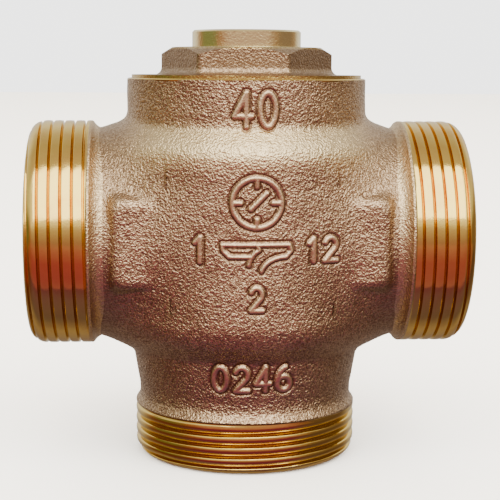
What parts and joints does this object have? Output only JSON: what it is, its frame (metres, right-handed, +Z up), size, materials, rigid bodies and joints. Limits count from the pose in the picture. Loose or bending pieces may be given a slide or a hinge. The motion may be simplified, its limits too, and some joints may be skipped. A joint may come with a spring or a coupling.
{
  "type": "thermostatic mixing valve",
  "caption": "Cast three-way water valve with male pipe threads left, right and below, a hexagon plug on top and a wax-driven double disc inside.",
  "frame": {"origin": "centre of the end face of port B, the lowest face of the valve", "axes": "+Z up from port B to the hexagon plug, +X out of the mixed-water port AB, -X out of port A, -Y towards the marked front"},
  "size_m": [0.092, 0.059, 0.0911],
  "materials": {
    "gunmetal": "as cast, satin",
    "plug_brass": "machined",
    "cartridge_brass": "machined",
    "capsule_brass": "drawn",
    "spring_steel": "stainless",
    "polished_steel": "polished stainless",
    "seal_rubber": "matt",
    "fibre": "matt",
    "wax": "waxy"
  },
  "bodies": {
    "valve": {"valve_body": "gunmetal", "hex_plug": "plug_brass", "plug_gasket": "fibre", "seat_gasket": "fibre", "seat_ring": "cartridge_brass", "spacer_cage": "cartridge_brass", "plug_circlip": "spring_steel", "overtravel_spring": "spring_steel", "return_spring": "spring_steel"},
    "plunger": {"spring_cup": "cartridge_brass", "piston": "polished_steel"},
    "element": {"capsule_cup": "capsule_brass", "capsule_cap": "capsule_brass", "rubber_boot": "seal_rubber", "wax_charge": "wax", "upper_disc": "polished_steel", "upper_disc_seal": "seal_rubber", "lower_disc": "polished_steel", "lower_disc_seal": "seal_rubber", "disc_nut": "cartridge_brass"}
  },
  "joints": [
    {"name": "element_slide", "type": "slide", "parent": "valve", "child": "element", "axis": [0, 0, -1], "range_m": [0, 0.006], "stiffness_N_per_m": 3000, "springref_m": -0.008, "deforming": ["return_spring"]},
    {"name": "overtravel_slide", "type": "slide", "parent": "valve", "child": "plunger", "axis": [0, 0, 1], "range_m": [0, 0.003], "stiffness_N_per_m": 20000, "springref_m": -0.004, "deforming": ["overtravel_spring"]}
  ]
}
